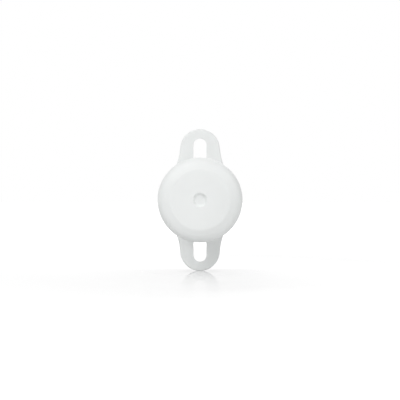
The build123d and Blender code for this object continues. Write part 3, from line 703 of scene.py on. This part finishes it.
def soft_box(width, length, height, edge):
    """Box with rounded edges, centred on its own origin."""
    shape = bmesh.new()
    bmesh.ops.create_cube(shape, size=1.0)
    bmesh.ops.scale(shape, vec=(width, length, height), verts=shape.verts)
    ease_edges(shape, edge)
    return to_mesh(shape)


def join_rings(shape, rings, closed=False):
    """Faces between neighbouring rings of points; a ring of one point closes an end."""
    rings = [[shape.verts.new(point) for point in ring] for ring in rings]
    pairs = list(zip(rings, rings[1:])) + ([(rings[-1], rings[0])] if closed else [])
    for low, high in pairs:
        for step in range(max(len(low), len(high))):
            after = step + 1
            corners = [low[step % len(low)], low[after % len(low)],
                       high[after % len(high)], high[step % len(high)]]
            shape.faces.new(list(dict.fromkeys(corners)))
    return rings


def lathe(profile, steps, closed=False):
    """Shape turned about Z from points of (radius, height) in millimetres."""
    shape = bmesh.new()
    rings = []
    for radius, height in profile:
        turns = [tau * step / steps for step in range(steps)] if radius else [0.0]
        rings.append([(radius * mm * cos(a), radius * mm * sin(a), height * mm) for a in turns])
    join_rings(shape, rings, closed)
    return to_mesh(shape)


def tapered(centre, levels, edge, finish):
    """Four-sided body through levels of (half width, half length, height), with eased edges."""
    shape = bmesh.new()
    sides = ((1, 1), (-1, 1), (-1, -1), (1, -1))
    rings = join_rings(shape, [[(centre.x + side_x * x, centre.y + side_y * y, z)
                                for side_x, side_y in sides] for x, y, z in levels])
    shape.faces.new(rings[0])
    shape.faces.new(rings[-1])
    ease_edges(shape, edge)
    mesh = smooth(to_mesh(shape))
    mesh.materials.append(finish)
    return mesh


# The board and what is soldered to it

board_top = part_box("circuit_board")[1].z
print_level = board_top + 0.006 * mm


def on_board(across, along, above=0.0):
    """Point above the board from millimetres across and along."""
    return Vector((across * mm, -along * mm, board_top + above))


chip_low, chip_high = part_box("radio_chip")
coil_low, coil_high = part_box("antenna_coil")
coil_wire, coil_pitch, coil_turns = 0.6 * mm, 1.3 * mm, 8.5
coil_radius = (coil_high.x - coil_low.x - coil_wire) / 2
coil_middle = Vector(((coil_low.x + coil_high.x) / 2, (coil_low.y + coil_high.y) / 2,
                      coil_high.z - coil_wire / 2 - coil_radius))


def coil_line():
    """Line of the antenna wire: up a leg, round the turns and down the other leg."""
    start = coil_middle.y + coil_pitch * coil_turns / 2
    steps_a_turn = 28
    steps = int(steps_a_turn * coil_turns)
    winding = []
    for step in range(steps + 1):
        turn = coil_turns * step / steps
        angle = pi - tau * turn
        winding.append(Vector((coil_middle.x + coil_radius * cos(angle), start - coil_pitch * turn,
                               coil_middle.z + coil_radius * sin(angle))))
    drop = coil_middle.z - coil_low.z
    lean = coil_pitch / (tau * coil_radius) * drop
    first_foot = winding[0] + Vector((0, lean, -drop))
    last_foot = winding[-1] + Vector((0, -lean, -drop))
    return [first_foot, *winding, last_foot]


def coil_feet():
    """Places where the antenna's legs meet the top of the board."""
    line = coil_line()
    legs = ((line[0], line[1]), (line[-1], line[-2]))
    return [foot.lerp(bend, (board_top - foot.z) / (bend.z - foot.z)) for foot, bend in legs]


def antenna_coil():
    """Round enamelled wire in place of the eight-sided one."""
    mesh = round_wire(coil_line(), coil_wire / 2, 14, coil_copper)
    add_piece("antenna_wire", mesh, "antenna_wire", stands_for=("antenna_coil",))


def contact_spring():
    """Round spring wire in place of the eight-sided one."""
    low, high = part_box("battery_spring")
    wire, turns, wide, narrow = 0.5 * mm, 2.5, 3.9 * mm, 1.7 * mm
    steps_a_turn = 32
    steps = int(steps_a_turn * turns)
    line = []
    for step in range(steps + 1):
        share = step / steps
        radius = wide + (narrow - wide) * share
        angle = tau * turns * share
        along = low.y + wire / 2 + (high.y - low.y - wire) * share
        line.append((radius * cos(angle), along, radius * sin(angle)))
    mesh = round_wire(line, wire / 2, 12, spring_nickel)
    add_piece("contact_spring", mesh, "contact_nickel", stands_for=("battery_spring",))


signal_tracks = [
    [(-5, 7.2), (-4.3, 7.9), (-3.4, 7.9), (-3.4, 8.2)], [(-3.4, 9), (-3.05, 9.4), (-3.05, 9.8)],
    [(-2, 9), (-2.05, 9.8)], [(-0.6, 9), (-0.55, 9.8)], [(0.8, 9), (0.45, 9.4), (0.45, 9.8)],
    [(-0.9, 7.3), (-0.9, 7.8), (-0.6, 8.2)], [(0.9, 7.3), (0.9, 8.2)],
    [(-2, 8.2), (-2, 7.4), (-2.6, 6.9)], [(1.6, 9.3), (1.6, 10.05), (1.1, 10.45)],
    [(1.1, 11.45), (2.2, 11.45)], [(1.1, 12.45), (2.3, 12.45), (2.8, 12.95)],
    [(1.1, 13.45), (1.9, 13.45), (2.4, 13.95), (2.4, 15.6)],
    [(1.1, 13.95), (1.5, 14.35), (1.5, 19.6), (2.2, 20.3), (4.6, 20.3), (4.6, 21.7)],
    [(-3.7, 10.95), (-4.5, 10.95)],
    [(-3.7, 11.95), (-5.6, 11.95), (-6.3, 12.65), (-6.3, 20.6), (-5, 21.6)],
    [(-3.7, 12.95), (-4.3, 13.55), (-4.3, 19.6), (-3.7, 20.2)],
    [(-3.7, 13.95), (-3.9, 14.15), (-3.9, 17.6), (-3.4, 18.3)],
    [(-2.05, 14.6), (-2.05, 15), (-2.5, 15.4)], [(-0.55, 14.6), (-0.55, 15), (-0.1, 15.4)],
    [(-2.5, 17.5), (-2.5, 17.8), (-2, 18.3)], [(-0.1, 17.5), (-0.1, 17.8), (-0.6, 18.3)],
    [(0.45, 14.6), (0.8, 15), (0.8, 18.3)], [(0.8, 19.2), (0.8, 19.6), (1.1, 19.9), (1.1, 20.3)],
    [(-2, 19.2), (-2, 19.7)], [(3.4, 22.9), (3.7, 22.6), (3.7, 21.5), (3, 20.8)],
    [(5.6, 20.6), (6.2, 21.2), (6.2, 21.7)],
    [(-3.7, 22.7), (-4.6, 22.7), (-5.4, 23.5), (-5.4, 25.6)],
]
power_tracks = [
    [(-3.6, 25.3), (-3.6, 25), (-2.8, 24.2), (1.6, 24.2)], [(0, 25.8), (0, 25.1), (1.6, 25.1)],
    [(1.5, 26.2), (5.6, 26.2)],
]
via_places = [
    (-2.6, 6.9), (2.2, 11.45), (2.8, 12.95), (2.4, 15.6), (-4.5, 10.95), (3, 20.8), (-5.4, 25.6),
    (5.6, 26.2), (4.6, 26.6), (2.2, 26.6), (-2, 19.7), (-1.7, 11.8), (-0.9, 11.8), (2.6, 8),
    (3.4, 7.4), (4.4, 7), (5.4, 7), (-6.3, 8.4), (-6.3, 10), (3.6, 11), (3.6, 17),
    (5.2, 8.2),
]


def board_tracks():
    """Copper lines and ring-shaped holes that show through the green mask."""
    thickness = 0.035 * mm
    rise = thickness * 0.3
    for name, tracks, width in (("board_signal_tracks", signal_tracks, 0.2 * mm),
                                ("board_power_tracks", power_tracks, 0.5 * mm)):
        lines = [[on_board(across, along, rise) for across, along in track] for track in tracks]
        mesh = flat_strips(lines, width, thickness, width * 0.6, track_green)
        add_piece(name, mesh, "board_laminate")
    profile = [(0.13, 0), (0.13, 0.03), (0.16, 0.04), (0.25, 0.04), (0.28, 0.02), (0.28, 0)]
    places = upright([on_board(across, along, -0.004 * mm) for across, along in via_places])
    repeat("board_vias", lathe(profile, 16, closed=True), places, gold, "lead_metal")


def outline(low, high, margin):
    """Closed printed rectangle round a place on the board."""
    left, right = low.x - margin, high.x + margin
    near, far = high.y + margin, low.y - margin
    corners = [(left, near), (right, near), (right, far), (left, far), (left, near)]
    return [Vector((x, y, print_level)) for x, y in corners]


def board_print():
    """Thin printed outlines round the parts, and a dot beside the chip's first pad."""
    lines = [outline(*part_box("crystal"), 0.22 * mm),
             outline(*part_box("learn_switch_base"), 0.2 * mm)]
    arm, margin = 0.8 * mm, 0.32 * mm
    for x, side_x in ((chip_low.x - margin, 1), (chip_high.x + margin, -1)):
        for y, side_y in ((chip_high.y + margin, -1), (chip_low.y - margin, 1)):
            corner = [(x + side_x * arm, y), (x, y), (x, y + side_y * arm)]
            lines.append([Vector((*point, print_level)) for point in corner])
    centre = Vector((chip_low.x - 0.75 * mm, chip_high.y + 0.35 * mm, print_level))
    dot_radius, steps = 0.14 * mm, 16
    angles = [tau * step / steps for step in range(steps + 1)]
    lines.append([centre + dot_radius * Vector((cos(a), sin(a), 0)) for a in angles])
    mesh = flat_strips(lines, 0.11 * mm, 0.02 * mm, 0.05 * mm, print_white)
    add_piece("board_print", mesh, "board_laminate")


def chip_pads():
    """Plated pads along the four lower edges of the radio chip."""
    pad = soft_box(0.24 * mm, 0.34 * mm, 0.22 * mm, 0.03 * mm)
    half, pitch, pads_a_side = (chip_high.x - chip_low.x) / 2, 0.5 * mm, 8
    middle = (chip_low + chip_high) / 2
    middle.z = board_top + 0.1 * mm
    places = []
    for side in range(4):
        angle = side * pi / 2
        for step in range(pads_a_side):
            offset = (step - (pads_a_side - 1) / 2) * pitch
            spot = Vector((offset * cos(angle) - half * sin(angle),
                           offset * sin(angle) + half * cos(angle), 0))
            places.append((middle + spot, (0, 0, angle), same))
    repeat("chip_pads", pad, places, tin, "lead_metal")


def small_parts():
    """Chip resistors and capacitors with plated ends on fillets of solder."""
    low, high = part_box("chip_parts")
    width, length, height = 0.6 * mm, 1.1 * mm, high.z - low.z
    columns = [low.x + width / 2 + (high.x - low.x - width) * column / 3 for column in range(4)]
    rows = [high.y - length / 2, low.y + length / 2]
    level, solder_level = low.z + height / 2, low.z + 0.06 * mm
    body = soft_box(width * 0.94, length * 0.62, height * 0.86, 0.03 * mm)
    cap = soft_box(width, length * 0.24, height, 0.06 * mm)
    joint = soft_box(width * 1.05, 0.3 * mm, 0.2 * mm, 0.07 * mm)
    middles = [Vector((x, y, level)) for y in rows for x in columns]
    tan = [middle for i, middle in enumerate(middles) if i % 3]
    ends, joints = [], []
    for x, y, _ in middles:
        for side in (1, -1):
            ends.append((x, y + side * length * 0.38, level))
            joints.append((x, y + side * (length / 2 + 0.04 * mm), solder_level))
    for name, shape, points, finish, slot in (
            ("capacitor_bodies", body, tan, ceramic_tan, "chip_ceramic"),
            ("resistor_bodies", body, middles[::3], resistor_black, "chip_ceramic"),
            ("small_part_ends", cap, ends, tin, "lead_metal")):
        repeat(name, shape, upright(points), finish, slot, stands_for=("chip_parts",))
    repeat("small_part_solder", joint, upright(joints), solder_grey, "lead_metal")


def solder_cones():
    """Solder drawn up round the pins of the reed switch and the antenna."""
    cone = lathe([(0, -0.02), (0.62, -0.02), (0.62, 0.02), (0.48, 0.07), (0.37, 0.18), (0.3, 0.36),
                  (0.24, 0.42), (0, 0.42)], 20)
    low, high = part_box("reed_leads")
    pin_x, pin_inset = (low.x + high.x) / 2, 0.25 * mm
    pins = [Vector((pin_x, y, board_top)) for y in (high.y - pin_inset, low.y + pin_inset)]
    places = upright(pins) + upright(coil_feet(), (1.25, 1.25, 1.2))
    repeat("solder_cones", cone, places, solder_grey, "lead_metal")


def contact_solder():
    """Solder round the strip's leg in its slot, and round the other contact's tab."""
    leg = [(1.5, 0.42, -0.05), (1.48, 0.4, 0.05), (1.32, 0.22, 0.16), (1.26, 0.16, 0.3)]
    tab = [(1.3, 0.42, -0.05), (1.26, 0.4, 0.04), (1.04, 0.2, 0.14)]
    for name, middle, levels in (("strip_leg_solder", on_board(0, 26.18), leg),
                                 ("contact_tab_solder", on_board(-3.6, 25.28), tab)):
        rings = [(x * mm, y * mm, board_top + above * mm) for x, y, above in levels]
        add_piece(name, tapered(middle, rings, 0.03 * mm, solder_grey), "lead_metal")


def flat_legs(name, legs, width, thickness, **more):
    """Bent flat legs, each a line of points from the body down to the board."""
    mesh = flat_strips(legs, width, thickness, 0.08 * mm, tin)
    add_piece(name, mesh, "lead_metal", **more)


def gull_leg(root, outward, reach, drop):
    """Points of a leg that leaves level, steps down and rests on the board."""
    step, down, inside = outward * reach, Vector((0, 0, -drop)), outward * 0.15 * mm
    return [root - inside, root + step * 0.3, root + step * 0.5 + down, root + step + down]


def regulator():
    """Moulded body with sloping sides and five bent legs."""
    low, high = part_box("voltage_regulator")
    reach, thickness, pitch, leg_height = 0.45 * mm, 0.12 * mm, 0.95 * mm, 0.5 * mm
    centre = (low + high) / 2
    half_width, half_length = (high.x - low.x) / 2 - reach, (high.y - low.y) / 2
    shares = ((0.92, low.z + 0.08 * mm), (1.0, low.z + leg_height), (0.9, high.z))
    rings = [(half_width * share, half_length * (0.5 + share / 2), z) for share, z in shares]
    mesh = tapered(centre, rings, 0.04 * mm, chip_black)
    add_piece("regulator_body", mesh, "chip_resin", stands_for=("voltage_regulator",))
    legs = []
    for side, steps in ((-1, (-1, 0, 1)), (1, (-1, 1))):
        for step in steps:
            root = Vector((centre.x + side * half_width, centre.y + step * pitch,
                           low.z + leg_height))
            legs.append(gull_leg(root, Vector((side, 0, 0)), reach - 0.02 * mm,
                                 leg_height - thickness / 2))
    flat_legs("regulator_legs", legs, 0.38 * mm, thickness, stands_for=("voltage_regulator",))


def switch_legs():
    """Short legs of the two switches, bent out onto the board."""
    level, drop = board_top + 0.35 * mm, 0.28 * mm
    low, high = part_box("learn_switch_base")
    legs = [gull_leg(Vector((x, y, level)), Vector((side, 0, 0)), 0.3 * mm, drop)
            for side, x in ((-1, low.x), (1, high.x))
            for y in (low.y + 0.55 * mm, high.y - 0.55 * mm)]
    low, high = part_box("tamper_switch_base")
    legs += [gull_leg(Vector((x, y, level)), Vector((0, side, 0)), 0.35 * mm, drop)
             for side, y in ((-1, low.y), (1, high.y))
             for x in (low.x + 0.6 * mm, high.x - 0.9 * mm)]
    flat_legs("switch_legs", legs, 0.5 * mm, 0.12 * mm)


def plate_rivets():
    """Four melted pegs that hold the learn switch's plate down."""
    low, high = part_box("learn_switch_plate")
    dome = lathe([(0, -0.03), (0.3, -0.03), (0.3, 0.02), (0.24, 0.07), (0.12, 0.1), (0, 0.1)], 16)
    inset = 0.5 * mm
    points = [(x, y, high.z) for x in (low.x + inset, high.x - inset)
              for y in (low.y + inset, high.y - inset)]
    repeat("plate_rivets", dome, upright(points), switch_black, "switch_black")


def screw_thread():
    """Thread that winds down round the shank."""
    core, crest, pitch, start = 0.52 * mm, 0.15 * mm, 0.45 * mm, -0.3 * mm
    steps_a_turn, turns = 24, 9
    line = []
    for step in range(steps_a_turn * turns + 1):
        angle = tau * step / steps_a_turn
        height = start - pitch * step / steps_a_turn
        line.append((core * cos(angle), core * sin(angle), height))
    return round_wire(line, crest, 4, screw_zinc)


def cross_cutter():
    """Crossed arms that narrow downwards, in the head's shape of recess."""
    cutter = bmesh.new()
    for angle in (0, pi / 2):
        arm = bmesh.ops.create_cube(cutter, size=1.0)["verts"]
        bmesh.ops.scale(cutter, vec=(1.5 * mm, 0.34 * mm, 0.9 * mm), verts=arm)
        for vert in arm:
            if vert.co.z < 0:
                vert.co.x *= 0.45
                vert.co.y *= 0.75
        turn = Matrix.Rotation(angle, 3, "Z")
        bmesh.ops.rotate(cutter, verts=arm, cent=(0, 0, 0), matrix=turn)
        bmesh.ops.translate(cutter, vec=(0, 0, 0.85 * mm), verts=arm)
    return to_mesh(cutter)


def cut(mesh, cutter):
    """First mesh with the second one cut out of it."""
    target, tool = add_object("target", mesh), add_object("tool", cutter)
    modifier = target.modifiers.new("cut", "BOOLEAN")
    modifier.object = tool
    modifier.operation = "DIFFERENCE"
    modifier.solver = "EXACT"
    modifier.use_self = True
    result = evaluated(target)
    for item in (target, tool):
        bpy.data.objects.remove(item)
    return result


def screw_pattern():
    """Threaded screw along Z, its pointed end down and a crossed recess in its round head."""
    thread = screw_thread()
    profile = [(0, -4.6), (0.2, -4.55), (0.5, -4.2), (0.5, -0.15), (0.62, 0), (1.36, 0),
               (1.4, 0.08), (1.4, 0.45), (1.3, 0.7), (1.08, 0.86), (0.8, 0.9), (0, 0.9)]
    shape = bmesh.new()
    for mesh in (cut(lathe(profile, 40), cross_cutter()), thread):
        shape.from_mesh(mesh)
    joined = bpy.data.meshes.new("joined")
    shape.to_mesh(joined)
    shape.free()
    return joined


def screws():
    """The two cover screws, with threads and crossed recesses."""
    low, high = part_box("cover_screws")
    head_radius, head_height = 1.4 * mm, 0.9 * mm
    seats = ((low.x + head_radius, 0.35), (high.x - head_radius, 1.1))
    places = [((x, low.y + head_height, (low.z + high.z) / 2), (pi / 2, turn, 0), same)
              for x, turn in seats]
    repeat("cover_screws_cut", screw_pattern(), places, screw_zinc, "screw_steel",
           stands_for=("cover_screws",))


for build in (antenna_coil, contact_spring, board_tracks, board_print, chip_pads, small_parts,
              solder_cones, contact_solder, regulator, switch_legs, plate_rivets, screws):
    build()


# Floor, lamps and camera

floor_level = cad_box[0].z


def eye_rays(tree):
    """One for rays that show a surface to the eye, directly or in gloss or glass."""
    path = place(tree, "ShaderNodeLightPath")
    seen = work_out(tree, "MAXIMUM", path["Is Camera Ray"], path["Is Transmission Ray"])
    return work_out(tree, "MAXIMUM", seen, path["Is Glossy Ray"])


def painted_floor_glow(spot, away, behind):
    """Brightness that the floor adds for the eye: painted shadow and light round the lower ear's
    tip, plain white far off.
    """
    # Painted shadow: the glow is least at the tip and rises outwards in two steps.
    painted_shade_glow = mix(step_up(away, -20 * mm, 43.9 * mm), 0.245, 0.731)
    outside = step_up(away, 30.7 * mm, 64.4 * mm)
    # Painted light on the right, where the key lamp's real shadow falls.
    right = times(step_up(spot["X"], -1 * mm, 21.4 * mm), step_up(away, 0.0, 20 * mm))
    # Painted shade round the tip, and painted light in a narrow patch just under it.
    painted_tip_shade = step_up(away, 8 * mm, 2 * mm)
    off_middle = gap(spot["X"], 0)
    painted_tip_light = times(step_up(off_middle, 4 * mm, 0.5 * mm), step_up(away, 8 * mm, 1 * mm))
    for area, amount in ((outside, 0.1), (right, 0.028), (painted_tip_shade, -0.06), (painted_tip_light, 0.1)):
        painted_shade_glow = times_plus(area, amount, painted_shade_glow)
    # Behind the tip the glow is a flat 0.42: painted light that lifts the floor's shade there.
    painted_shade_glow = mix(behind, painted_shade_glow, 0.42)
    return mix(step_up(away, 60 * mm, 200 * mm), painted_shade_glow, 1.0)


def pale_floor():
    """White floor with a faint mirror image of the lower ear; round the tip its shadow is mostly
    painted into its glow.
    """
    finish, tree = new_finish("Pale floor", Roughness=0.01)
    seen, spot = eye_rays(tree), spot_parts(tree)
    inputs = {0: place(tree, "ShaderNodeTexCoord")["Object"], 1: Vector((0, 0, floor_level))}
    away = place(tree, "ShaderNodeVectorMath", inputs, operation="DISTANCE")["Value"]
    behind = step_up(spot["Y"], 3 * mm, 20 * mm)
    fading = work_out(tree, "EXPONENT", work_out(tree, "DIVIDE", away, -9 * mm))
    # The floor is paler within 5 to 30 mm of the tip: a painted pool of light that also bounces
    # onto the object.
    painted_pool_grey, pale_grey, seen_grey = (0.92, 0.92, 0.92), (0.78, 0.78, 0.78), (0.18, 0.18, 0.18)
    white = tint(step_up(away, 5 * mm, 30 * mm), painted_pool_grey, pale_grey)
    # In front of the tip the eye sees a dark grey, so the real shadow there is weak and the glow
    # paints the shade.
    near = times(opposite(step_up(away, 60 * mm, 120 * mm)), opposite(behind))
    feed(finish, Base_Color=tint(times(near, seen), white, seen_grey),
         Specular_IOR_Level=times(fading, 0.06))
    painted_shade_glow = times(painted_floor_glow(spot, away, behind), seen)
    light = place(tree, "ShaderNodeEmission", {"Strength": painted_shade_glow})[0]
    shader = tree.nodes["Principled BSDF"].outputs[0]
    both = place(tree, "ShaderNodeAddShader", {0: shader, 1: light})[0]
    tree.links.new(both, tree.nodes["Material Output"].inputs["Surface"])
    return finish


def lay_floor():
    """Wide plane under the lower ear's tip."""
    reach = 6.0
    mesh = bpy.data.meshes.new("floor")
    corners = [(-reach, -reach), (reach, -reach), (reach, reach), (-reach, reach)]
    mesh.from_pydata([(x, y, floor_level) for x, y in corners], [], [(0, 1, 2, 3)])
    mesh.materials.append(pale_floor())
    floor = add_object("floor", mesh)


def white_room(strength):
    """World that looks white, and lights the object at a chosen strength."""
    world = bpy.data.worlds.new("White room")
    world.use_nodes = True
    scene.world = world
    tree = world.node_tree
    background = tree.nodes["Background"].inputs
    fill(tree, background["Color"], (1, 1, 1))
    fill(tree, background["Strength"], mix(eye_rays(tree), strength, 1.0))


def softbox(name, place_at, width, height, radiance):
    """Square lamp that faces the object; its brightness is given as seen in its surface."""
    lamp = bpy.data.lights.new(name, "AREA")
    lamp.shape = "RECTANGLE"
    lamp.size, lamp.size_y = width, height
    lamp.energy = radiance * width * height * pi
    holder = add_object(name, lamp)
    holder.location = place_at
    barrel_middle = Vector((0, -30 * mm, 0))
    aim = barrel_middle - Vector(place_at)
    holder.rotation_euler = aim.to_track_quat("-Z", "Y").to_euler()


def camera():
    """Camera level with the barrel's axis, straight in front of its closed end."""
    lens = bpy.data.cameras.new("camera")
    lens.lens = 72.9
    lens.sensor_width = 36
    lens.clip_start = 0.01
    holder = add_object("camera", lens)
    holder.location = (0, -238.2 * mm, 0)
    holder.rotation_euler = (pi / 2, 0, 0)
    scene.camera = holder


scene.view_settings.view_transform = "Standard"
lay_floor()
white_room(0.46)
softbox("key_softbox", (-0.16, -0.22, 0.26), 0.26, 0.26, 2.45)
softbox("front_softbox", (0, -0.7, 0.12), 0.6, 0.5, 0.86)
softbox("right_softbox", (0.45, -0.45, 0.12), 0.4, 0.4, 1.45)
softbox("back_softbox", (0.1, 0.4, 0.3), 0.4, 0.4, 0.65)
camera()
